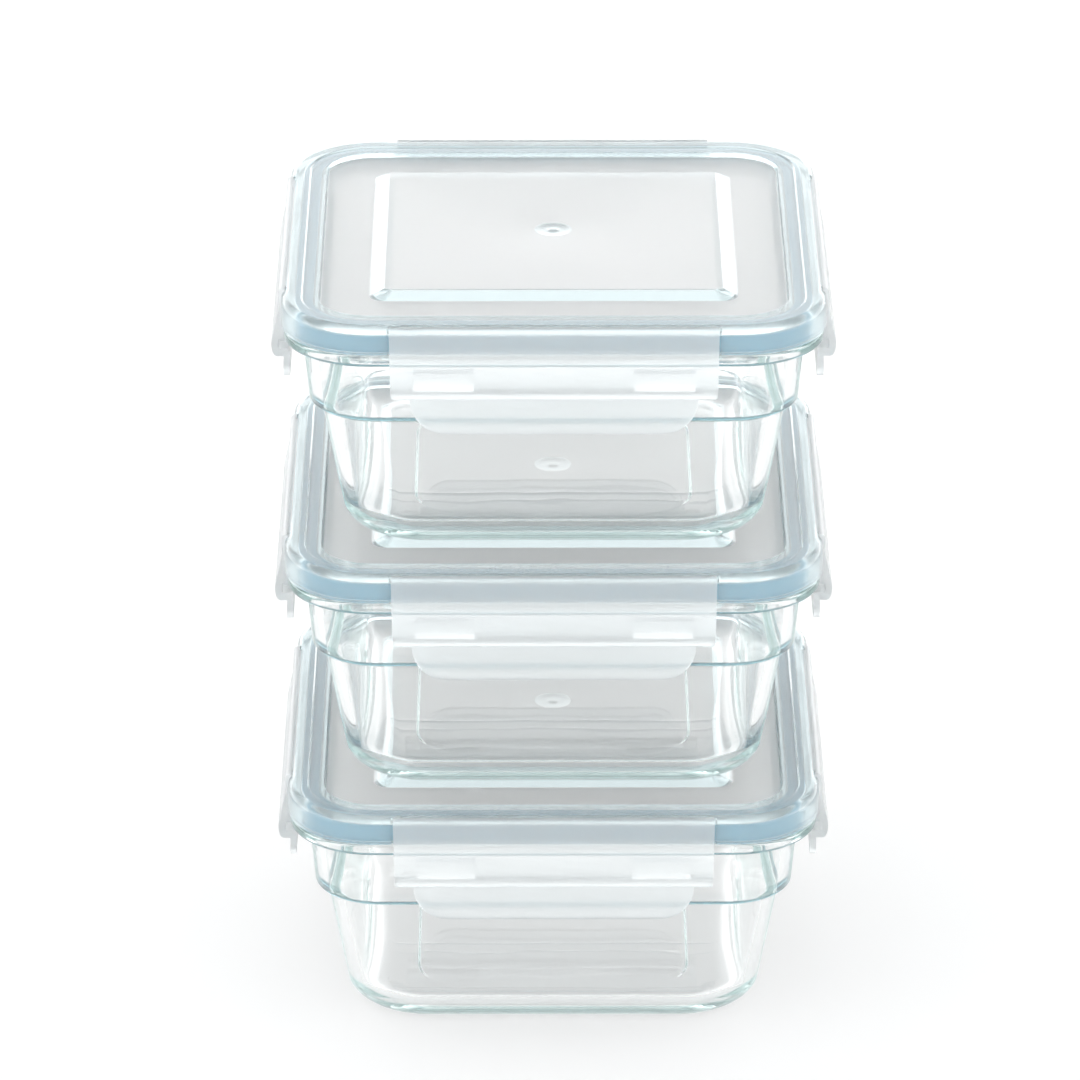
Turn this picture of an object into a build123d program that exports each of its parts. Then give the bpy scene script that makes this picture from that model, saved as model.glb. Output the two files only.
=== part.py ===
"""Three square glass food containers, each with a clip-on lid, stacked on top of each other.

Every container is a pressed-glass bowl, a translucent polypropylene lid, a silicone gasket
ring in the lid's groove, and four latch flaps that hook under the flange of the glass.
Units are millimetres. Z is up, the origin is at the middle of the stack's base, and the
front of each container faces -Y.
"""
import os

from build123d import *

os.makedirs("parts", exist_ok=True)

# ---- driving dimensions (mm); "half" is half the width of a square section ----

# stack
levels = ("bottom", "middle", "top")
stack_pitch = 75.5            # from one base to the next
corner_radius = 25.0          # plan radius at the lid's corners

# bowl, outside
base_half = 58.6              # where the side wall would meet the floor plane, unrounded
base_corner = 17.0
base_round = 10.5             # rounding between base and side wall
foot_recess_half = 40.0       # shallow push-up under the base
foot_recess_depth = 0.6
ledge_z = 43.4                # the outward step below the neck
body_half = 66.0              # side wall at the ledge
body_corner = 17.0
neck_low_half = 69.3
neck_low_corner = 19.0
neck_high_half = 70.9
neck_high_corner = 20.0
ledge_round = 1.6
flange_half = 76.3
flange_low_z = 62.6
flange_high_z = 66.2
flange_round = 1.3

# bowl, inside
floor_z = 4.6                 # thick glass base
cavity_low_half = 55.8
cavity_low_corner = 14.5
cavity_round = 8.0
cavity_step_z = 42.2          # the inside follows the ledge
cavity_body_half = 62.5
cavity_body_corner = 14.0
cavity_neck_half = 65.4
cavity_neck_corner = 15.0
mouth_half = 67.4
mouth_corner = 16.5
mouth_round = 1.0

# lid
lid_half = 77.0
lid_low_z = 66.6              # bottom of the skirt, just above the flange
lid_high_z = 75.0             # top of the raised rim
lid_edge_round = 2.4
tray_z = 73.3                 # sunk tray inside the rim
tray_low_half = 65.8
tray_high_half = 66.6
panel_thickness = 1.8
plug_half = 66.3              # wall that reaches down inside the mouth
plug_wall = 1.6
plug_low_z = 63.6
panel_foot_half = 52.2        # sloped border of the raised stacking panel
panel_foot_corner = 4.6
panel_top_half = 47.8
panel_top_corner = 0.8
panel_top_z = 75.4
gate_radius = 5.0             # dished mould gate in the middle of the panel
gate_depth = 0.5
gate_nub_radius = 0.8
latch_recess_half = 75.8      # the skirt steps back behind each latch
latch_recess_width = 93.4

# gasket and its groove
groove_inner_half = 67.7
groove_outer_half = 73.2
groove_high_z = 71.6
gasket_play = 0.05            # the ring is this much smaller than the groove on each side
gasket_low_z = 66.25          # rests on the flange
gasket_vent_half = 70.4       # narrow channels in the top and the underside of the ring
gasket_vent_width = 0.9
gasket_vent_depth = 1.0

# latch; u is the distance from the container's axis, measured outward
latch_half_width = 46.2
latch_low_half_width = 45.8
latch_inner_u = 76.1
latch_outer_u = 77.9
latch_bulge_u = 80.2
latch_shelf_z = 53.9          # bottom of the wide upper part
tab_half_width = 40.4
tab_low_z = 43.0
tab_corner = 10.0
hook_u = 74.0                 # reaches 2.3 under the flange
hook_high_z = 61.6            # 1 below the flange
hook_inner_x = 22.5
hook_outer_x = 39.5
latch_sides = {"front": 0, "right": 90, "back": 180, "left": 270}   # degrees about Z


def plan_corner(half):
    """Plan radius that keeps a wall parallel to the lid's rounded outline."""
    return corner_radius - (lid_half - half)


def block(z_low, half_low, corner_low, z_high, half_high, corner_high, mode=Mode.ADD):
    """Drafted square block with rounded corners, added to or cut from the open part."""
    with BuildSketch(Plane.XY.offset(z_low)) as low:
        RectangleRounded(2 * half_low, 2 * half_low, corner_low)
    with BuildSketch(Plane.XY.offset(z_high)) as high:
        RectangleRounded(2 * half_high, 2 * half_high, corner_high)
    loft(sections=[low.sketch.face(), high.sketch.face()], mode=mode)


def flat_edges(part, z_low, z_high):
    """Edges of a part that lie level, between two heights."""
    band = part.edges().filter_by_position(Axis.Z, z_low - 0.01, z_high + 0.01)
    return band.filter_by(lambda edge: edge.bounding_box().size.Z < 0.01)


def ring(z_low, z_high, inner_half, outer_half, mode=Mode.ADD):
    """Square ring that follows the lid's outline, added to or cut from the open part."""
    with BuildSketch(Plane.XY.offset(z_low)) as outline:
        RectangleRounded(2 * outer_half, 2 * outer_half, plan_corner(outer_half))
        RectangleRounded(2 * inner_half, 2 * inner_half, plan_corner(inner_half), mode=Mode.SUBTRACT)
    extrude(outline.sketch, amount=z_high - z_low, mode=mode)


# ---- bowl: body, neck and flange outside, stepped cavity inside ----
with BuildPart() as outer:
    block(0, base_half, base_corner, ledge_z, body_half, body_corner)
    fillet(outer.edges().group_by(Axis.Z)[0], base_round)
    block(ledge_z, neck_low_half, neck_low_corner, flange_low_z, neck_high_half, neck_high_corner)
    fillet(outer.faces().filter_by(Axis.Z).sort_by(Axis.Z)[1].outer_wire().edges(), ledge_round)
    block(
        flange_low_z, flange_half, plan_corner(flange_half),
        flange_high_z, flange_half, plan_corner(flange_half),
    )
    fillet(flat_edges(outer, flange_low_z, flange_high_z), flange_round)

# the cavity is a solid of its own first, so that its floor can be rounded
with BuildPart() as cavity:
    block(
        floor_z, cavity_low_half, cavity_low_corner,
        cavity_step_z, cavity_body_half, cavity_body_corner,
    )
    fillet(cavity.edges().group_by(Axis.Z)[0], cavity_round)
    block(
        cavity_step_z, cavity_neck_half, cavity_neck_corner,
        flange_high_z, mouth_half, mouth_corner,
    )
    fillet(cavity.faces().filter_by(Axis.Z).sort_by(Axis.Z)[1].outer_wire().edges(), ledge_round)

with BuildPart() as foot_recess:
    block(
        0, foot_recess_half, base_corner,
        foot_recess_depth, foot_recess_half - foot_recess_depth, base_corner - foot_recess_depth,
    )

with BuildPart() as bowl:
    add(outer.part)
    add(cavity.part, mode=Mode.SUBTRACT)
    add(foot_recess.part, mode=Mode.SUBTRACT)
    fillet(bowl.faces().sort_by(Axis.Z)[-1].inner_wires()[0].edges(), mouth_round)

# ---- lid: skirt and rim, sunk tray, raised stacking panel, plug wall, gasket groove ----
with BuildPart() as lid:
    lid_corner = plan_corner(lid_half)
    plug_corner = plan_corner(plug_half)
    inside_half = plug_half - plug_wall
    inside_corner = plan_corner(inside_half)
    block(lid_low_z, lid_half, lid_corner, lid_high_z, lid_half, lid_corner)
    fillet(lid.edges().group_by(Axis.Z)[-1], lid_edge_round)
    block(plug_low_z, plug_half, plug_corner, lid_low_z, plug_half, plug_corner)
    block(
        tray_z, tray_low_half, plan_corner(tray_low_half),
        lid_high_z, tray_high_half, plan_corner(tray_high_half), mode=Mode.SUBTRACT,
    )
    block(
        plug_low_z, inside_half, inside_corner,
        tray_z - panel_thickness, inside_half, inside_corner, mode=Mode.SUBTRACT,
    )
    # the panel stands up out of the tray, and its underside is hollow by the same height
    block(
        tray_z, panel_foot_half, panel_foot_corner,
        panel_top_z, panel_top_half, panel_top_corner,
    )
    block(
        tray_z - panel_thickness, panel_foot_half - panel_thickness, panel_foot_corner,
        panel_top_z - panel_thickness, panel_top_half - panel_thickness, panel_top_corner,
        mode=Mode.SUBTRACT,
    )
    ring(lid_low_z, groove_high_z, groove_inner_half, groove_outer_half, mode=Mode.SUBTRACT)
    # flat recess in the skirt behind each latch
    with BuildSketch(Plane.XY.offset(lid_low_z)):
        with PolarLocations(latch_recess_half, 4):
            Rectangle(lid_half, latch_recess_width, align=(Align.MIN, Align.CENTER))
    extrude(amount=lid_high_z - lid_low_z, mode=Mode.SUBTRACT)
    # dished gate mark with the stub of the gate in its middle
    with BuildSketch(Plane.XY.offset(panel_top_z)):
        Circle(gate_radius)
    extrude(amount=-gate_depth, taper=45, mode=Mode.SUBTRACT)
    with BuildSketch(Plane.XY.offset(panel_top_z - gate_depth)):
        Circle(gate_nub_radius)
    extrude(amount=gate_depth)

# ---- gasket: plain ring with a narrow channel in its top and in its underside ----
with BuildPart() as gasket:
    gasket_high_z = groove_high_z - gasket_play
    channel_half = gasket_vent_half + gasket_vent_width / 2
    ring(gasket_low_z, gasket_high_z, groove_inner_half + gasket_play, groove_outer_half - gasket_play)
    ring(
        gasket_high_z - gasket_vent_depth, gasket_high_z,
        channel_half - gasket_vent_width, channel_half, mode=Mode.SUBTRACT,
    )
    ring(
        gasket_low_z, gasket_low_z + gasket_vent_depth,
        channel_half - gasket_vent_width, channel_half, mode=Mode.SUBTRACT,
    )

# ---- front latch: thin bulging flap, shelf under it, pull tab, and two hooks on its back ----
with BuildPart() as latch:
    # section across the latch, drawn in the YZ plane with the outside towards -Y
    with BuildSketch(Plane.YZ):
        with BuildLine():
            FilletPolyline(
                (-latch_inner_u, lid_high_z),
                (-latch_outer_u, lid_high_z),
                (-latch_outer_u, 69.0),
                (-latch_bulge_u, 58.5),
                (-latch_bulge_u + 0.8, latch_shelf_z),
                (-76.8, latch_shelf_z),
                (-77.1, tab_low_z),
                (-75.3, tab_low_z),
                (-74.9, 56.4),
                (-78.1, 56.4),
                (-78.3, 58.0),
                (-76.7, 65.6),
                (-latch_inner_u, 68.4),
                radius=(0.3, 1.4, 6.0, 2.4, 1.0, 0.5, 0.6, 0.6, 0.8, 0.5, 1.5, 2.0, 0.0),
                close=True,
            )
        make_face()
    extrude(amount=latch_half_width, both=True)
    with BuildSketch(Plane.YZ.offset(hook_inner_x)):
        with BuildLine():
            FilletPolyline(
                (-78.4, hook_high_z),
                (-hook_u, hook_high_z),
                (-hook_u, 60.2),
                (-75.0, 57.0),
                (-75.2, 55.4),
                (-78.4, 55.4),
                radius=0.3,
                close=True,
            )
        make_face()
    extrude(amount=hook_outer_x - hook_inner_x)
    mirror(about=Plane.YZ)
    # front outline: square-cornered flap above, narrower tab with round corners below
    with BuildSketch(Plane.XZ.offset(hook_u - 2)) as front_view:
        with BuildLine():
            Polyline(
                (-latch_half_width, lid_high_z),
                (latch_half_width, lid_high_z),
                (latch_low_half_width, latch_shelf_z),
                (tab_half_width, latch_shelf_z),
                (tab_half_width, tab_low_z),
                (-tab_half_width, tab_low_z),
                (-tab_half_width, latch_shelf_z),
                (-latch_low_half_width, latch_shelf_z),
                close=True,
            )
        make_face()
        fillet(front_view.vertices().group_by(Axis.Y)[0], tab_corner)
    extrude(amount=latch_bulge_u - hook_u + 4, mode=Mode.INTERSECT)


def export_piece(shape, name, height, turn=0):
    """Write one piece of the stack: a copy of a shape, lifted and turned about Z."""
    piece = Location((0, 0, height), (0, 0, turn)) * shape
    piece.label = name
    export_step(piece, f"parts/{name}.step")


# ---- the stack: the same seven pieces on every level ----
for index, level in enumerate(levels):
    base_z = index * stack_pitch
    export_piece(bowl.part, f"{level}_bowl", base_z)
    export_piece(lid.part, f"{level}_lid", base_z)
    export_piece(gasket.part, f"{level}_gasket", base_z)
    for side, turn in latch_sides.items():
        export_piece(latch.part, f"{level}_latch_{side}", base_z, turn)

print("volumes, cm3:")
for name, shape in (("bowl", bowl), ("lid", lid), ("gasket", gasket), ("latch", latch)):
    print(f"  {name} {shape.part.volume / 1000:.1f}")
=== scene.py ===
# %% [markdown]
# # A stack of three glass food containers
# Each container is a pressed-glass bowl with a clip-on lid. The lid is one moulding of translucent
# polypropylene: a raised rim, a sunk tray, a raised panel for the container above, and four latch
# flaps on thin film hinges. A pale blue silicone ring sits in a groove under the rim.
# The CAD model is loaded first. It fixes every size and every moving body, so the pieces made here
# take their places from its boxes.

# %% Load the CAD frame
import math

import bmesh
import bpy
from mathutils import Matrix, Vector


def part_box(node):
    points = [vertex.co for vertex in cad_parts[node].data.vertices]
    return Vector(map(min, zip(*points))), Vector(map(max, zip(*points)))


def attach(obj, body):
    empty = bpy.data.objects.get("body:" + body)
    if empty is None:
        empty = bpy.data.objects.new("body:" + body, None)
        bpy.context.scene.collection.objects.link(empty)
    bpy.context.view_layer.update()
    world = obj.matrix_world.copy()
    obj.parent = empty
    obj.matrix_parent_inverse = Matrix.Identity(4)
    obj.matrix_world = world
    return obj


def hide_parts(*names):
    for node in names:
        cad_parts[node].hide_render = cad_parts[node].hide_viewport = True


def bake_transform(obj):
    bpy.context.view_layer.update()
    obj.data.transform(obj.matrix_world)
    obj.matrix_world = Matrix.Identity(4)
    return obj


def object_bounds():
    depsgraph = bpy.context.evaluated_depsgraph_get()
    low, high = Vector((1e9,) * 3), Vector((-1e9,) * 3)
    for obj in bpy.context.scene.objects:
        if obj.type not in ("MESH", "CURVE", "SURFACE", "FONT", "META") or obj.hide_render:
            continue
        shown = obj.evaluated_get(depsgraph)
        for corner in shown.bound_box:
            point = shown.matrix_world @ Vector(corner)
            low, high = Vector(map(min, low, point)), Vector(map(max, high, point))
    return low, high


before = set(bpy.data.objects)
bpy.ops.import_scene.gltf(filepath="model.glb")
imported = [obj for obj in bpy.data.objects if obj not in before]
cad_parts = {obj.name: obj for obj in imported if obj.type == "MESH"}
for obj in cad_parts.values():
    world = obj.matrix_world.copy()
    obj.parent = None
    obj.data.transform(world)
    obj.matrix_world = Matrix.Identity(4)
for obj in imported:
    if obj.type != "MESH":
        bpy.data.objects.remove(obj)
cad_box = [list(corner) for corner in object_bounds()]
print("CAD box:", cad_box)

# %% [markdown]
# All three containers are alike, so one is modelled and then copied to each level. The height of
# a level is where its bowl stands in the CAD model. Lengths below are written in millimetres and
# turned into Blender's metres by one constant, because millimetres are easier to read.

# %% Levels and sides
MM = 0.001
LEVELS = ("bottom", "middle", "top")
SIDES = {"front": 0, "right": 90, "back": 180, "left": 270}
level_z = {level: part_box(f"{level}_bowl")[0][2] for level in LEVELS}
lid_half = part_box("bottom_lid")[1][0] / MM
lid_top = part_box("bottom_latch_front")[1][2] / MM
panel_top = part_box("bottom_lid")[1][2] / MM
print("levels at", level_z, "lid half width", lid_half, "rim top", lid_top, "panel top", panel_top)

# %% [markdown]
# ## Materials
# Colours are written as sRGB hex values, the way they look on a screen. Shaders work in linear
# light, so one function converts them.

# %% Colour helper
def srgb(hex_value):
    """Linear RGBA for a hex colour."""
    channels = [int(hex_value[i:i + 2], 16) / 255 for i in (0, 2, 4)]
    linear = [c / 12.92 if c <= 0.04045 else ((c + 0.055) / 1.055) ** 2.4 for c in channels]
    return (*linear, 1.0)


print("the glass tint in linear light:", srgb("A8D3CF"))

# %% [markdown]
# Every material is a small tree of nodes. One function adds any node, sets its options and
# values, and links its inputs, so each recipe below reads as a short list.

# %% Node helper
def add_node(tree, kind, values=None, links=None, **options):
    """Add a node; values fills input sockets and links joins them to other nodes' outputs."""
    node = tree.nodes.new(kind)
    for option, setting in options.items():
        setattr(node, option, setting)
    for socket, value in (values or {}).items():
        node.inputs[socket].default_value = value
    for socket, (source, output) in (links or {}).items():
        tree.links.new(source.outputs[output], node.inputs[socket])
    return node


def new_material(name, surface, bump=None):
    """A material from a Principled shader's values; bump gives grain size, depth and detail."""
    material = bpy.data.materials.new(name)
    material.use_nodes = True
    tree = material.node_tree
    tree.nodes.clear()
    shader = add_node(tree, "ShaderNodeBsdfPrincipled", surface)
    output = add_node(tree, "ShaderNodeOutputMaterial", links={"Surface": (shader, "BSDF")})
    if bump:
        where = add_node(tree, "ShaderNodeTexCoord")
        grain = add_node(
            tree, "ShaderNodeTexNoise", {"Scale": 1 / (bump["size_mm"] * MM), "Detail": bump["detail"]},
            {"Vector": (where, "Object")},
        )
        relief = add_node(
            tree, "ShaderNodeBump", {"Strength": bump["strength"], "Distance": bump["depth_mm"] * MM},
            {"Height": (grain, "Fac")},
        )
        tree.links.new(relief.outputs["Normal"], shader.inputs["Normal"])
    return material, tree, shader, output


# %% [markdown]
# ### Soda-lime glass
# The bowls are pressed soda-lime glass. It is nearly colourless through a thin wall, but the iron
# in it turns long paths green-grey, so the flange, the ledge and the base show a tint at their
# edges. Absorption inside the volume gives that for the walls. Light that leaves by the outer
# roundings of the ledge and the flange has run a long way inside the glass, so the mesh marks them
# with an attribute, and there the surface colour is painted dark teal: painted shade standing in for the
# dark tinted line of such a long path.
# Pressing in a cooled mould leaves the walls slightly wavy, which a broad, very shallow bump copies.

# %% Glass
glass, tree, shader, output = new_material(
    "soda_lime_glass",
    {"Roughness": 0.0, "IOR": 1.52, "Transmission Weight": 1.0},
    bump={"size_mm": 22, "detail": 1.0, "strength": 0.15, "depth_mm": 0.25},
)
tint = add_node(tree, "ShaderNodeVolumeAbsorption", {"Color": srgb("A8D3CF"), "Density": 7.0})
tree.links.new(tint.outputs["Volume"], output.inputs["Volume"])
# Painted shade: on the marked roundings the surface colour turns dark teal, standing in for the dark
# line that long light paths give.
edge = add_node(tree, "ShaderNodeAttribute", attribute_name="painted_edge_shade")
colours = add_node(tree, "ShaderNodeValToRGB", links={"Fac": (edge, "Fac")})
colours.color_ramp.elements[0].color = srgb("FFFFFF")
colours.color_ramp.elements[1].color = srgb("2F5660")
tree.links.new(colours.outputs["Color"], shader.inputs["Base Color"])
print("made", glass.name)

# %% [markdown]
# ### Natural polypropylene
# The lids are natural polypropylene: no pigment, but its crystals scatter light, so it looks like
# milky ice. Where the mould is polished, the surface is glossy. Where the mould was blasted with
# grit, as on the tray and the latches, the plastic is frosted and blurs what is behind it. Light
# that has travelled inside a flap comes out at its narrow rounded edges, so those look whiter; that
# glow is a painted highlight, made by a lit copy of the latch plastic that is less clear and so whiter.

# %% Polypropylene, polished and frosted
clear_pp = new_material(
    "polypropylene_polished",
    {
        "Base Color": srgb("E4F4F7"), "Roughness": 0.18, "IOR": 1.49,
        "Transmission Weight": 0.9, "Specular IOR Level": 0.5,
    },
    bump={"size_mm": 9, "detail": 2.0, "strength": 0.1, "depth_mm": 0.1},
)[0]
frosted_pp = new_material(
    "polypropylene_frosted",
    {
        "Base Color": srgb("FCFDFD"), "Roughness": 0.42, "IOR": 1.49,
        "Transmission Weight": 0.8, "Specular IOR Level": 0.4,
    },
    bump={"size_mm": 0.7, "detail": 3.0, "strength": 0.5, "depth_mm": 0.06},
)[0]
latch_pp = new_material(
    "polypropylene_latch",
    {
        "Base Color": srgb("FAFEFF"), "Roughness": 0.3, "IOR": 1.49,
        "Transmission Weight": 0.87, "Specular IOR Level": 0.5,
    },
    bump={"size_mm": 1.1, "detail": 3.0, "strength": 0.45, "depth_mm": 0.06},
)[0]
# A lit copy of the latch plastic, less clear and so whiter: a painted highlight for the rounded edges.
latch_edge_glow_pp = new_material(
    "polypropylene_painted_edge_glow",
    {
        "Base Color": srgb("FBFEFF"), "Roughness": 0.5, "IOR": 1.49,
        "Transmission Weight": 0.3, "Specular IOR Level": 0.5,
    },
)[0]
print("made", clear_pp.name, frosted_pp.name, latch_pp.name, latch_edge_glow_pp.name)

# %% [markdown]
# ### Silicone rubber
# The seal is pale blue silicone. It is soft and slightly see-through, with a satin skin from its
# mould, so a little light goes in and comes out again nearby: that is subsurface scattering.

# %% Silicone
silicone = new_material(
    "silicone_pale_blue",
    {
        "Base Color": srgb("5FA3C0"), "Roughness": 0.45, "IOR": 1.42,
        "Subsurface Weight": 0.3, "Subsurface Radius": (0.6, 0.8, 1.0), "Subsurface Scale": 1.5 * MM,
    },
    bump={"size_mm": 1.6, "detail": 2.0, "strength": 0.3, "depth_mm": 0.05},
)[0]
print("made", silicone.name)

# %% [markdown]
# ## Square rings with rounded corners
# The bowl, the gasket and the lid share one idea: a cross-section carried round a square with
# rounded corners. Lofting loops of points gives clean four-sided faces, which glass needs, because
# every dent in a mesh bends the light.
# A section is a list of corners. Each one gives the half width, the height, the straight half
# length of the side, and the radius that rounds the section there.

# %% Rounding a section
LARGE_RADIUS = 3.0


def rounded_section(corners, closed, steps=6, hold=0.25):
    """Section points with each corner rounded; two extra points hold the flats beside a rounding."""
    points = []
    count = len(corners)
    for index, (half, z, straight, radius) in enumerate(corners):
        here = Vector((half, z, straight))
        if radius == 0 or (not closed and index in (0, count - 1)):
            points.append(here)
            continue
        before = Vector(corners[index - 1][:3])
        after = Vector(corners[(index + 1) % count][:3])
        to_before = before - here
        to_after = after - here
        length_before = to_before.xy.length
        length_after = to_after.xy.length
        flat_before = to_before.xy.normalized()
        flat_after = to_after.xy.normalized()
        half_angle = flat_before.angle(flat_after) / 2
        reach = radius / math.tan(half_angle)
        start = here + to_before * (reach / length_before)
        end = here + to_after * (reach / length_after)
        centre = here.xy + (flat_before + flat_after).normalized() * (radius / math.sin(half_angle))
        if reach + hold < length_before / 2:
            points.append(here + to_before * ((reach + hold) / length_before))
        arc_steps = steps if radius < LARGE_RADIUS else 3 * steps
        for step in range(arc_steps + 1):
            along = start.lerp(end, step / arc_steps)
            on_arc = centre + (along.xy - centre).normalized() * radius
            points.append(Vector((on_arc.x, on_arc.y, along.z)))
        if reach + hold < length_after / 2:
            points.append(here + to_after * ((reach + hold) / length_after))
    return points


# %% [markdown]
# One loop of the loft: along each side the points sit at fixed shares of the straight part, and
# each corner is an arc. The shares put two points close together at the ends of the latch
# recesses, so that the step there is sharp.

# %% One loop of points
ARC_STEPS = 12
LID_STRAIGHT = 52.0
RECESS_SHARE = 46.7 / LID_STRAIGHT
STEP_SHARE = RECESS_SHARE + 0.002
SHARES = (-STEP_SHARE, -RECESS_SHARE, -0.6, -0.3, 0, 0.3, 0.6, RECESS_SHARE, STEP_SHARE)


def loop_of_points(half, z, straight):
    """Points in metres round a square with rounded corners, anticlockwise from above."""
    points = []
    radius = half - straight
    for turn in range(4):
        side = [(half, share * straight) for share in SHARES]
        for step in range(ARC_STEPS + 1):
            angle = math.pi / 2 * step / ARC_STEPS
            side.append((straight + radius * math.cos(angle), straight + radius * math.sin(angle)))
        quarter = Matrix.Rotation(math.pi / 2 * turn, 2)
        points += [quarter @ Vector(point) for point in side]
    return [Vector((p.x * MM, p.y * MM, z * MM)) for p in points]


print("points in a loop:", len(loop_of_points(77, 0, LID_STRAIGHT)))

# %% [markdown]
# The loft joins neighbouring loops with faces. A closed section makes a ring. An open one is
# capped with a single flat face at each end, which suits the flat middle of a base or a lid.

# %% Lofting loops into a mesh
def finished_mesh(bm, name):
    """The mesh of a bmesh, with its faces turned outward."""
    bmesh.ops.recalc_face_normals(bm, faces=bm.faces)
    mesh = bpy.data.meshes.new(name)
    bm.to_mesh(mesh)
    bm.free()
    return mesh


def smooth_with_creases(mesh, crease_degrees):
    """Smooth shading that stops at edges sharper than an angle."""
    mesh.shade_smooth()
    mesh.set_sharp_from_angle(angle=math.radians(crease_degrees))


def loft_mesh(name, loops, closed, materials, material_of=None):
    """Mesh from loops of equal length; material_of gives the slot of the band after each loop."""
    bm = bmesh.new()
    rings = [[bm.verts.new(point) for point in loop] for loop in loops]
    bands = len(rings) if closed else len(rings) - 1
    for band in range(bands):
        low, high = rings[band], rings[(band + 1) % len(rings)]
        for i in range(len(low)):
            j = (i + 1) % len(low)
            face = bm.faces.new((low[i], low[j], high[j], high[i]))
            face.material_index = material_of[band] if material_of else 0
    if not closed:
        for ring, band in ((rings[0], 0), (rings[-1], bands - 1)):
            face = bm.faces.new(ring)
            face.material_index = material_of[band] if material_of else 0
    bmesh.ops.remove_doubles(bm, verts=bm.verts, dist=1e-7)
    mesh = finished_mesh(bm, name)
    for material in materials:
        mesh.materials.append(material)
    smooth_with_creases(mesh, 35)
    print(name, len(mesh.vertices), "points", len(mesh.polygons), "faces")
    return mesh


# %% [markdown]
# The same mesh is placed at every level. Each copy rides on its CAD body and stands for its CAD
# node, so it moves with the joints. Sharing one mesh keeps the three containers exactly alike.

# %% Placing copies
def place(mesh, piece, body, node, z, turn=0):
    """One copy of a mesh at a level, riding on a body and standing for a CAD node."""
    copy = bpy.data.objects.new(piece, mesh)
    bpy.context.collection.objects.link(copy)
    copy.matrix_world = Matrix.Translation((0, 0, z)) @ Matrix.Rotation(math.radians(turn), 4, "Z")
    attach(copy, body)
    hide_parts(node)
    return copy


def place_at_levels(mesh, part, carrier):
    """A copy of a mesh at every level, named for its part and riding on its carrier."""
    for level in LEVELS:
        place(mesh, f"{part}_{level}", f"{level}_{carrier}", f"{level}_{part}", level_z[level])
    print("placed", part, "at", len(LEVELS), "levels")


# %% [markdown]
# ## Bowl
# The bowl was pressed in one go: a thick base on a flat foot, sloping walls, an outward step
# (the ledge) under a straighter neck, and a flange all round the top. The inside follows the same
# steps. The section runs from the middle of the foot, up the outside, over the flange and down the
# inside to the middle of the floor.

# %% Bowl section
BOWL_SECTION = [
    # half width, height, straight half length, rounding
    (12.0, 0.6, 8.0, 0),
    (39.4, 0.6, 22.9, 0.3),
    (40.0, 0.0, 23.0, 0.3),
    (58.6, 0.0, 41.6, 10.5),
    (66.0, 43.4, 49.0, 1.0),
    (69.3, 43.4, 50.3, 1.6),
    (70.9, 62.6, 50.9, 1.3),
    (76.3, 62.6, 52.0, 1.3),
    (76.3, 66.2, 52.0, 1.3),
    (67.4, 66.2, 50.9, 1.0),
    (65.4, 42.2, 50.4, 1.6),
    (62.5, 42.2, 48.5, 1.0),
    (55.8, 4.6, 41.3, 8.0),
    (12.0, 4.6, 8.0, 0),
]
bowl_points = rounded_section(BOWL_SECTION, closed=False)
bowl_mesh = loft_mesh("bowl", [loop_of_points(*p) for p in bowl_points], False, [glass])


# Zones painted with dark teal shade, standing in for the long light paths at the ledge and flange
# roundings.
PAINTED_SHADE_ZONES = (
    # half width from, to, height from, to
    (68.0, 69.45, 43.3, 44.9),  # ledge
    (74.9, 77.0, 62.0, 63.8),  # underside of the flange
)


def has_painted_edge_shade(half, z):
    """True on the outer roundings of the ledge and the flange, where light paths are long; the glass
    there gets painted shade.
    """
    return any(near < half < far and low < z < high for near, far, low, high in PAINTED_SHADE_ZONES)


# Points in these zones get the painted dark teal shade.
painted_shade_values = bowl_mesh.attributes.new("painted_edge_shade", "FLOAT", "POINT")
points_per_loop = len(bowl_mesh.vertices) // len(bowl_points)
for vertex in bowl_mesh.vertices:
    point = bowl_points[vertex.index // points_per_loop]
    painted_shade_values.data[vertex.index].value = 1.0 if has_painted_edge_shade(point.x, point.y) else 0.0
print("points on thick edges:", sum(item.value > 0 for item in painted_shade_values.data))
place_at_levels(bowl_mesh, "bowl", "bowl")

# %% [markdown]
# ## Gasket
# The seal is an extruded silicone ring bent round the lid's groove. Narrow channels in its top and
# its underside leave two soft lips on each face, which press flat as the latches pull the lid down.

# %% Gasket section
def parallel(points):
    """Section corners that stay parallel to the lid's outline."""
    return [(half, z, LID_STRAIGHT, radius) for half, z, radius in points]


GASKET_SECTION = parallel([
    (67.75, 66.25, 0.5), (69.95, 66.25, 0.2), (69.95, 67.25, 0.2), (70.85, 67.25, 0.2),
    (70.85, 66.25, 0.2), (73.15, 66.25, 0.5), (73.15, 71.55, 0.5), (70.85, 71.55, 0.2),
    (70.85, 70.55, 0.2), (69.95, 70.55, 0.2), (69.95, 71.55, 0.2), (67.75, 71.55, 0.5),
])
gasket_points = rounded_section(GASKET_SECTION, closed=True, steps=4)
gasket_mesh = loft_mesh("gasket", [loop_of_points(*p) for p in gasket_points], True, [silicone])
place_at_levels(gasket_mesh, "gasket", "lid")

# %% [markdown]
# ## Lid
# The lid is one moulding about 1.8 mm thick. Read from the middle outwards, its section has the
# dished mark where plastic entered the mould, the raised panel, the sloping border, the sunk tray,
# the raised rim, the skirt, the groove for the gasket, and the plug wall inside the bowl's mouth.
# The dish is round and the rest is square, so the first loops are circles whose points lie in the
# same directions as the points of the square ones.

# %% Lid section
RECESS_DEPTH = 75.8
RECESS_HALF_LENGTH = 46.71


def circle_of_points(radius, z, like):
    """A round loop whose points lie in the same directions as those of another loop."""
    return [Vector((p.x, p.y, 0)).normalized() * radius * MM + Vector((0, 0, z * MM)) for p in like]


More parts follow.
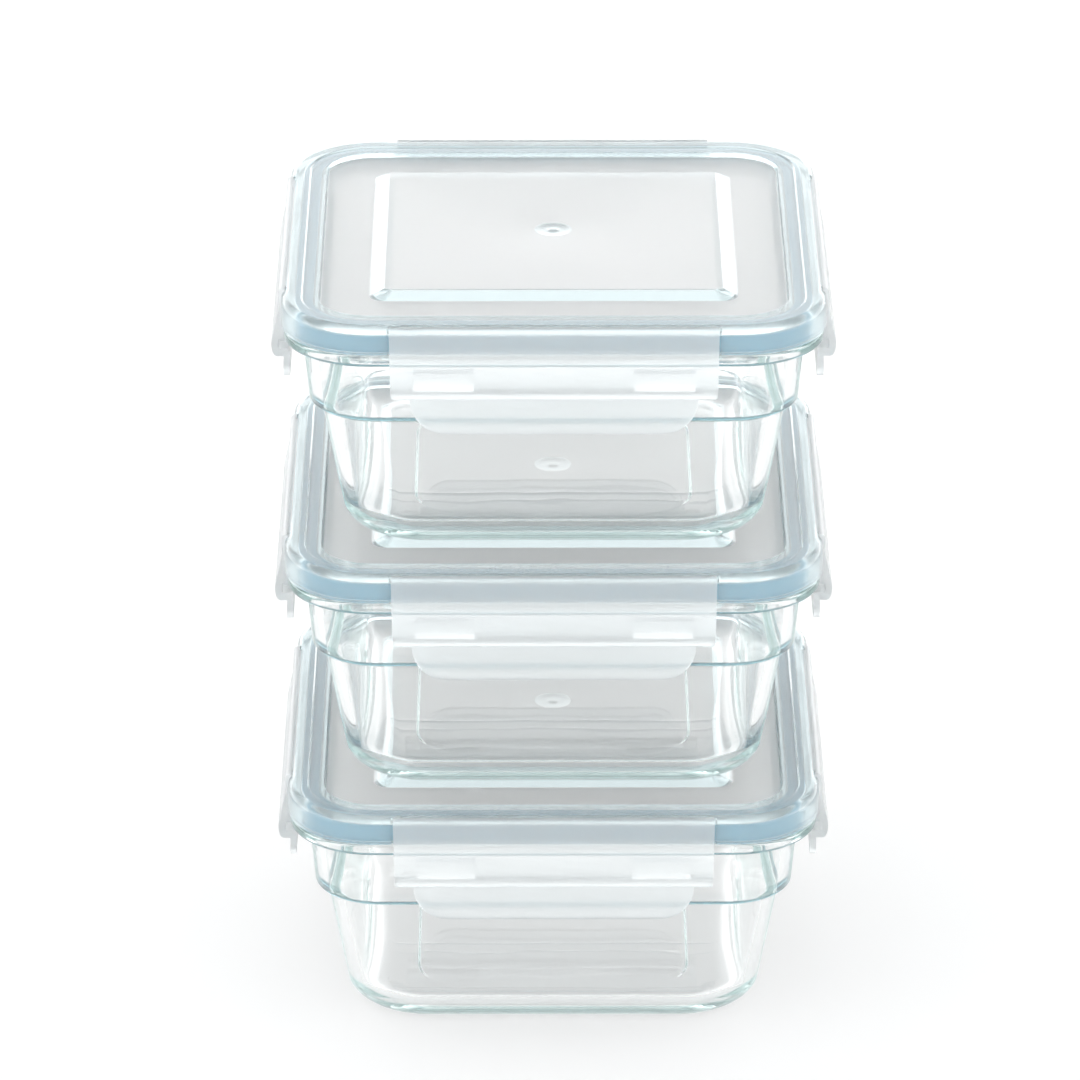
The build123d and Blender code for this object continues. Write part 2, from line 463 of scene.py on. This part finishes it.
def recessed(loop):
    """The same loop with its sides pushed in behind the latches."""
    limit, reach = RECESS_DEPTH * MM, RECESS_HALF_LENGTH * MM
    result = []
    for p in loop:
        if abs(p.y) < reach:
            p = Vector((max(-limit, min(limit, p.x)), p.y, p.z))
        elif abs(p.x) < reach:
            p = Vector((p.x, max(-limit, min(limit, p.y)), p.z))
        result.append(p)
    return result


PANEL_EDGE = (47.8, 75.4, 47.0)
LID_SECTION = [
    # half width, height, straight half length, rounding
    (30.0, 75.4, 29.2, 0),
    (*PANEL_EDGE, 0.5),
    (52.2, 73.3, 47.6, 0.5),
    (65.8, 73.3, 52.0, 0.5),
    (66.5, 74.6, 52.0, 0.3),
    (70.9, 74.6, 52.0, 0.2),
    (71.4, 75.0, 52.0, 0.2),
    (77.0, 75.0, 52.0, 2.4),
    (77.0, 66.6, 52.0, 0.5),
    (73.2, 66.6, 52.0, 0.2),
    (73.2, 71.6, 52.0, 0.3),
    (67.7, 71.6, 52.0, 0.3),
    (67.7, 66.6, 52.0, 0.3),
    (66.3, 66.6, 52.0, 0.2),
    (66.3, 63.6, 52.0, 0.7),
    (64.7, 63.6, 52.0, 0.7),
    (64.7, 71.5, 52.0, 1.2),
    (50.4, 71.5, 45.8, 0.5),
    (46.0, 73.6, 45.2, 0.5),
    (20.0, 73.6, 19.0, 0),
]
GATE_MARK = (
    # radius, height
    (0.4, 75.39), (1.1, 75.3), (1.5, 75.15), (2.2, 75.1), (3.6, 75.16), (4.6, 75.34), (5.4, 75.4),
)
panel_loop = loop_of_points(*PANEL_EDGE)
gate_loops = [circle_of_points(radius, z, panel_loop) for radius, z in GATE_MARK]
lid_points = rounded_section(LID_SECTION, closed=False, steps=5)
lid_loops = gate_loops + [recessed(loop_of_points(*p)) for p in lid_points]


LID_UNDERSIDE = 71.0
FROSTED_PANEL = (0.0, 47.9)
FROSTED_TRAY = (51.9, 65.9)


def is_frosted(half, z):
    """True on the panel and the tray, but not on the sloping border between them."""
    frosted = any(near < half < far for near, far in (FROSTED_PANEL, FROSTED_TRAY))
    return z > LID_UNDERSIDE and frosted


frosted_bands = [0] * (len(gate_loops) - 1) + [1] + [int(is_frosted(p.x, p.y)) for p in lid_points]
lid_mesh = loft_mesh("lid", lid_loops, False, [clear_pp, frosted_pp], frosted_bands)
place_at_levels(lid_mesh, "lid", "lid")

# %% [markdown]
# ## Latches
# A latch is a flap that bulges over the glass flange, a narrow shelf under the bulge, and a pull
# tab with large round corners. It is modelled as a ladder: each rung joins a point on the outer
# face to one on the inner face, and carries the half width of the flap at that height. That keeps
# the wall thickness in view and lets the outline change from the flap to the tab.

# %% Latch rungs
TAB_CORNER_RADIUS = 10.0
TAB_CORNER_HEIGHT = 53.0
TAB_STRAIGHT_HALF = 30.4
TAB_TOP = 53.9


def tab_half_width(z):
    """Half width of the pull tab, which narrows round its large lower corners."""
    drop = max(0.0, TAB_CORNER_HEIGHT - z)
    return TAB_STRAIGHT_HALF + math.sqrt(max(0.0, TAB_CORNER_RADIUS ** 2 - drop ** 2))


FLAP_RUNGS = [
    # outer face, inner face, half width
    ((76.5, 75.0), (76.15, 74.85), 45.9),
    ((77.1, 74.87), (76.1, 74.5), 46.15),
    ((77.6, 74.45), (76.1, 74.0), 46.2),
    ((77.85, 73.9), (76.1, 73.4), 46.2),
    ((77.9, 73.2), (76.1, 72.8), 46.2),
    ((77.9, 70.0), (76.1, 69.6), 46.1),
    ((78.05, 68.4), (76.15, 68.2), 46.1),
    ((78.42, 66.5), (76.5, 66.3), 46.0),
    ((78.9, 64.4), (77.0, 64.2), 46.0),
    ((79.6, 61.2), (77.65, 61.0), 45.9),
    ((80.0, 59.2), (78.1, 58.9), 45.9),
    ((80.12, 58.0), (78.2, 57.6), 45.9),
    ((80.05, 57.0), (78.15, 56.95), 45.8),
    ((79.8, 55.6), (77.9, 56.5), 45.75),
    ((79.3, 54.5), (77.2, 56.4), 45.6),
    ((78.6, 53.98), (76.4, 56.4), 45.3),
    ((77.6, 53.9), (75.5, 56.35), 45.1),
    ((76.85, 53.9), (74.97, 55.6), 45.1),
    ((76.83, 53.85), (74.95, 53.9), 45.1),
]
TAB_HEIGHTS = (53.8, 53.0, 51.0, 49.0, 47.2, 45.8, 44.6, 43.8, 43.25, 43.0)
OUTER_START, OUTER_SLOPE = 76.8, 0.028
INNER_START, INNER_SLOPE = 74.95, 0.032
TAB_RUNGS = [
    (
        (OUTER_START + (TAB_TOP - z) * OUTER_SLOPE, z),
        (INNER_START + (TAB_TOP - z) * INNER_SLOPE, z),
        tab_half_width(z),
    )
    for z in TAB_HEIGHTS
]
print("rungs:", len(FLAP_RUNGS) + len(TAB_RUNGS))

# %% [markdown]
# The front latch is built once, on the container's front, and turned to the other sides. Two
# hooks on its back catch under the glass flange.

# %% Latch mesh
RUNG_SHARES = (-1, -0.985, -0.5, 0, 0.5, 0.985, 1)
HOOK_SECTION = ((78.6, 61.6), (74.0, 61.6), (74.0, 60.2), (75.0, 57.0), (75.2, 55.9), (78.6, 55.9))
HOOK_SPANS = ((22.5, 39.5), (-39.5, -22.5))


def add_prism(bm, section, low_x, high_x):
    """A bar with a constant section, given as points of distance from the axis and height."""
    ends = [[bm.verts.new((x * MM, -u * MM, z * MM)) for u, z in section] for x in (low_x, high_x)]
    for i in range(len(section)):
        j = (i + 1) % len(section)
        bm.faces.new((ends[0][i], ends[0][j], ends[1][j], ends[1][i]))
    for end in ends:
        bm.faces.new(end)


def add_skin(bm, rungs, face):
    """One face of the ladder: a row of points for each rung; face 0 is the outer, 1 the inner."""
    rows = []
    for rung in rungs:
        (u, z), half_width = rung[face], rung[2]
        rows.append([bm.verts.new((s * half_width * MM, -u * MM, z * MM)) for s in RUNG_SHARES])
    return rows


def flap_mesh_data():
    """The front latch's flap: the ladder's two faces and its edges."""
    bm = bmesh.new()
    rungs = FLAP_RUNGS + TAB_RUNGS
    outer = add_skin(bm, rungs, 0)
    inner = add_skin(bm, rungs, 1)
    last = len(RUNG_SHARES) - 1
    for r in range(len(rungs) - 1):
        for c in range(last):
            bm.faces.new((outer[r][c], outer[r][c + 1], outer[r + 1][c + 1], outer[r + 1][c]))
            bm.faces.new((inner[r][c], inner[r][c + 1], inner[r + 1][c + 1], inner[r + 1][c]))
        for c in (0, last):
            bm.faces.new((outer[r][c], inner[r][c], inner[r + 1][c], outer[r + 1][c]))
    for r in (0, len(rungs) - 1):
        for c in range(last):
            bm.faces.new((outer[r][c], outer[r][c + 1], inner[r][c + 1], inner[r][c]))
    return finished_mesh(bm, "flap")


def hook_mesh_data():
    """The two hooks behind the flap, with their roots sunk into its wall."""
    bm = bmesh.new()
    for low_x, high_x in HOOK_SPANS:
        add_prism(bm, HOOK_SECTION, low_x, high_x)
    return finished_mesh(bm, "hooks")


# %% [markdown]
# Two skins that cross inside clear plastic show as a false edge. A Boolean union fuses the hooks to
# the flap, so that light meets one closed skin. A bevel then rounds the latch's edges and gives the
# roundings a lit, less clear copy of the plastic: a painted highlight for the light that leaves there.

# %% Fusing the hooks
LATCH_CREASE_DEGREES = 40
EDGE_ROUNDING = 0.55


def fused(name, base_mesh, extra_mesh, material):
    """The union of two closed meshes as a new mesh."""
    parts = [bpy.data.objects.new(mesh.name, mesh) for mesh in (base_mesh, extra_mesh)]
    for part in parts:
        bpy.context.collection.objects.link(part)
    union = parts[0].modifiers.new("union", "BOOLEAN")
    union.operation = "UNION"
    union.object = parts[1]
    graph = bpy.context.evaluated_depsgraph_get()
    mesh = bpy.data.meshes.new_from_object(parts[0].evaluated_get(graph))
    for part in parts:
        bpy.data.objects.remove(part)
    mesh.name = name
    mesh.materials.clear()
    mesh.materials.append(material)
    smooth_with_creases(mesh, LATCH_CREASE_DEGREES)
    print(name, len(mesh.vertices), "points")
    return mesh


latch_mesh = fused("latch", flap_mesh_data(), hook_mesh_data(), latch_pp)
latch_mesh.materials.append(latch_edge_glow_pp)
latches = []
for level in LEVELS:
    for side, turn in SIDES.items():
        node = f"{level}_latch_{side}"
        latch = place(latch_mesh, f"latch_{side}_{level}", node, node, level_z[level], turn)
        rounding = latch.modifiers.new("edge_rounding", "BEVEL")
        rounding.width = EDGE_ROUNDING * MM
        # Painted highlight: the roundings take the lit, whiter copy of the latch plastic.
        rounding.material = 1
        rounding.segments = 3
        rounding.limit_method = "ANGLE"
        rounding.angle_limit = math.radians(LATCH_CREASE_DEGREES)
        latches.append(latch)
print("latches:", len(latches))

# %% [markdown]
# ## Film hinges
# Each latch hangs on a film hinge: a strip of the same plastic, thin enough to bend thousands of
# times. Here each strip is a fixed piece of that plastic between a lid and one of its latches.

# %% Hinge strips
HINGE_HALF_LENGTH = 43.5
HINGE_LOW, HINGE_HIGH = 74.2, 74.65
HINGE_ROOT, HINGE_STEP, HINGE_COLUMNS = 75.2, 0.1, 16


def hinge_strip(level, side, turn):
    """The thin web between a lid and one of its latches."""
    bm = bmesh.new()
    columns = [HINGE_ROOT + HINGE_STEP * i for i in range(HINGE_COLUMNS)]
    section = [(u, HINGE_HIGH) for u in columns] + [(u, HINGE_LOW) for u in reversed(columns)]
    add_prism(bm, section, -HINGE_HALF_LENGTH, HINGE_HALF_LENGTH)
    place_here = Matrix.Translation((0, 0, level_z[level])) @ Matrix.Rotation(math.radians(turn), 4, "Z")
    bm.transform(place_here)
    mesh = finished_mesh(bm, f"film_hinge_{side}_{level}")
    mesh.materials.append(latch_pp)
    strip = bpy.data.objects.new(mesh.name, mesh)
    bpy.context.collection.objects.link(strip)
    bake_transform(strip)
    return strip


strips = [hinge_strip(level, side, turn) for level in LEVELS for side, turn in SIDES.items()]
print("hinge strips:", len(strips))

# %% [markdown]
# ## Floor, light and camera
# Clear objects are lit by what surrounds them. A bright white room shines through the glass and
# the lids, and it gets darker overhead, so that the top lid doesn't outshine the others. The floor
# is a white acrylic table with soft light under it, as studios use for glassware: it lights the
# bowls from below and keeps their shadow faint.

# %% Floor
FLOOR_RADIUS_M = 6.0
FLOOR_GAP_M = 0.0002
floor_mesh = bpy.data.meshes.new("floor")
bm = bmesh.new()
bmesh.ops.create_circle(bm, cap_ends=True, segments=96, radius=FLOOR_RADIUS_M)
bm.to_mesh(floor_mesh)
bm.free()
floor_material = new_material(
    "lit_white_acrylic",
    {
        "Base Color": srgb("E4E4E4"), "Roughness": 0.9, "Specular IOR Level": 0.1,
        "Emission Color": srgb("FFFFFF"), "Emission Strength": 0.34,
    },
)[0]
floor_mesh.materials.append(floor_material)
floor = bpy.data.objects.new("floor", floor_mesh)
bpy.context.collection.objects.link(floor)
floor.location.z = cad_box[0][2] - FLOOR_GAP_M
print("floor at", floor.location.z)

# %% [markdown]
# The room is a world colour that depends only on height, so it is the same from every side.
# Light runs to and fro inside a glass wall many times before it gets out. A path that is cut short
# brings no light and leaves a black patch at the corners of the bowls, so paths may be very long.

# %% Room and lights
PATH_LENGTH = 200
scene = bpy.context.scene
scene.cycles.max_bounces = PATH_LENGTH
scene.cycles.transmission_bounces = PATH_LENGTH
scene.cycles.glossy_bounces = PATH_LENGTH
scene.cycles.diffuse_bounces = 8
world = bpy.data.worlds.new("white_room")
scene.world = world
world.use_nodes = True
room = world.node_tree
room.nodes.clear()
direction = add_node(room, "ShaderNodeTexCoord")
height = add_node(room, "ShaderNodeSeparateXYZ", links={"Vector": (direction, "Generated")})
fade = add_node(room, "ShaderNodeValToRGB", links={"Fac": (height, "Z")})
horizon, overhead = fade.color_ramp.elements
horizon.position = 0.12
horizon.color = (1, 1, 1, 1)
overhead.position = 0.5
overhead.color = (0.13, 0.133, 0.134, 1)
glow = add_node(room, "ShaderNodeBackground", {"Strength": 4.2}, {"Color": (fade, "Color")})
add_node(room, "ShaderNodeOutputWorld", links={"Surface": (glow, "Background")})


def soft_box(name, place_m, aim_m, size_m, power_w):
    """A large square lamp aimed at a point."""
    lamp = bpy.data.lights.new(name, "AREA")
    lamp.shape = "SQUARE"
    lamp.size = size_m
    lamp.energy = power_w
    box = bpy.data.objects.new(name, lamp)
    bpy.context.collection.objects.link(box)
    box.location = place_m
    box.rotation_euler = (Vector(aim_m) - Vector(place_m)).to_track_quat("-Z", "Y").to_euler()
    print(name, power_w, "W")


soft_box("soft_box_top", place_m=(-0.5, -0.3, 1.8), aim_m=(0, 0, 0.1), size_m=1.4, power_w=3)

# %% [markdown]
# The camera stands about 2.2 m away and looks down at 23 degrees through a long lens, which is how
# such a stack is usually shown: the top lid is seen well and the sides stay nearly upright.

# %% Camera
DISTANCE = 2.2
ELEVATION = math.radians(22.95)
TURN = math.radians(0.12)
target = Vector((-0.0038, 0, 0.1291))
ahead = math.cos(ELEVATION)
look = Vector((math.sin(TURN) * ahead, math.cos(TURN) * ahead, -math.sin(ELEVATION)))
lens = bpy.data.cameras.new("camera")
lens.lens = 250
lens.sensor_width = 36
camera = bpy.data.objects.new("camera", lens)
bpy.context.collection.objects.link(camera)
camera.location = target - look * DISTANCE
camera.rotation_euler = look.to_track_quat("-Z", "Y").to_euler()
bpy.context.scene.camera = camera
scene.view_settings.view_transform = "Standard"
scene.view_settings.gamma = 1.3
print("camera at", tuple(camera.location))
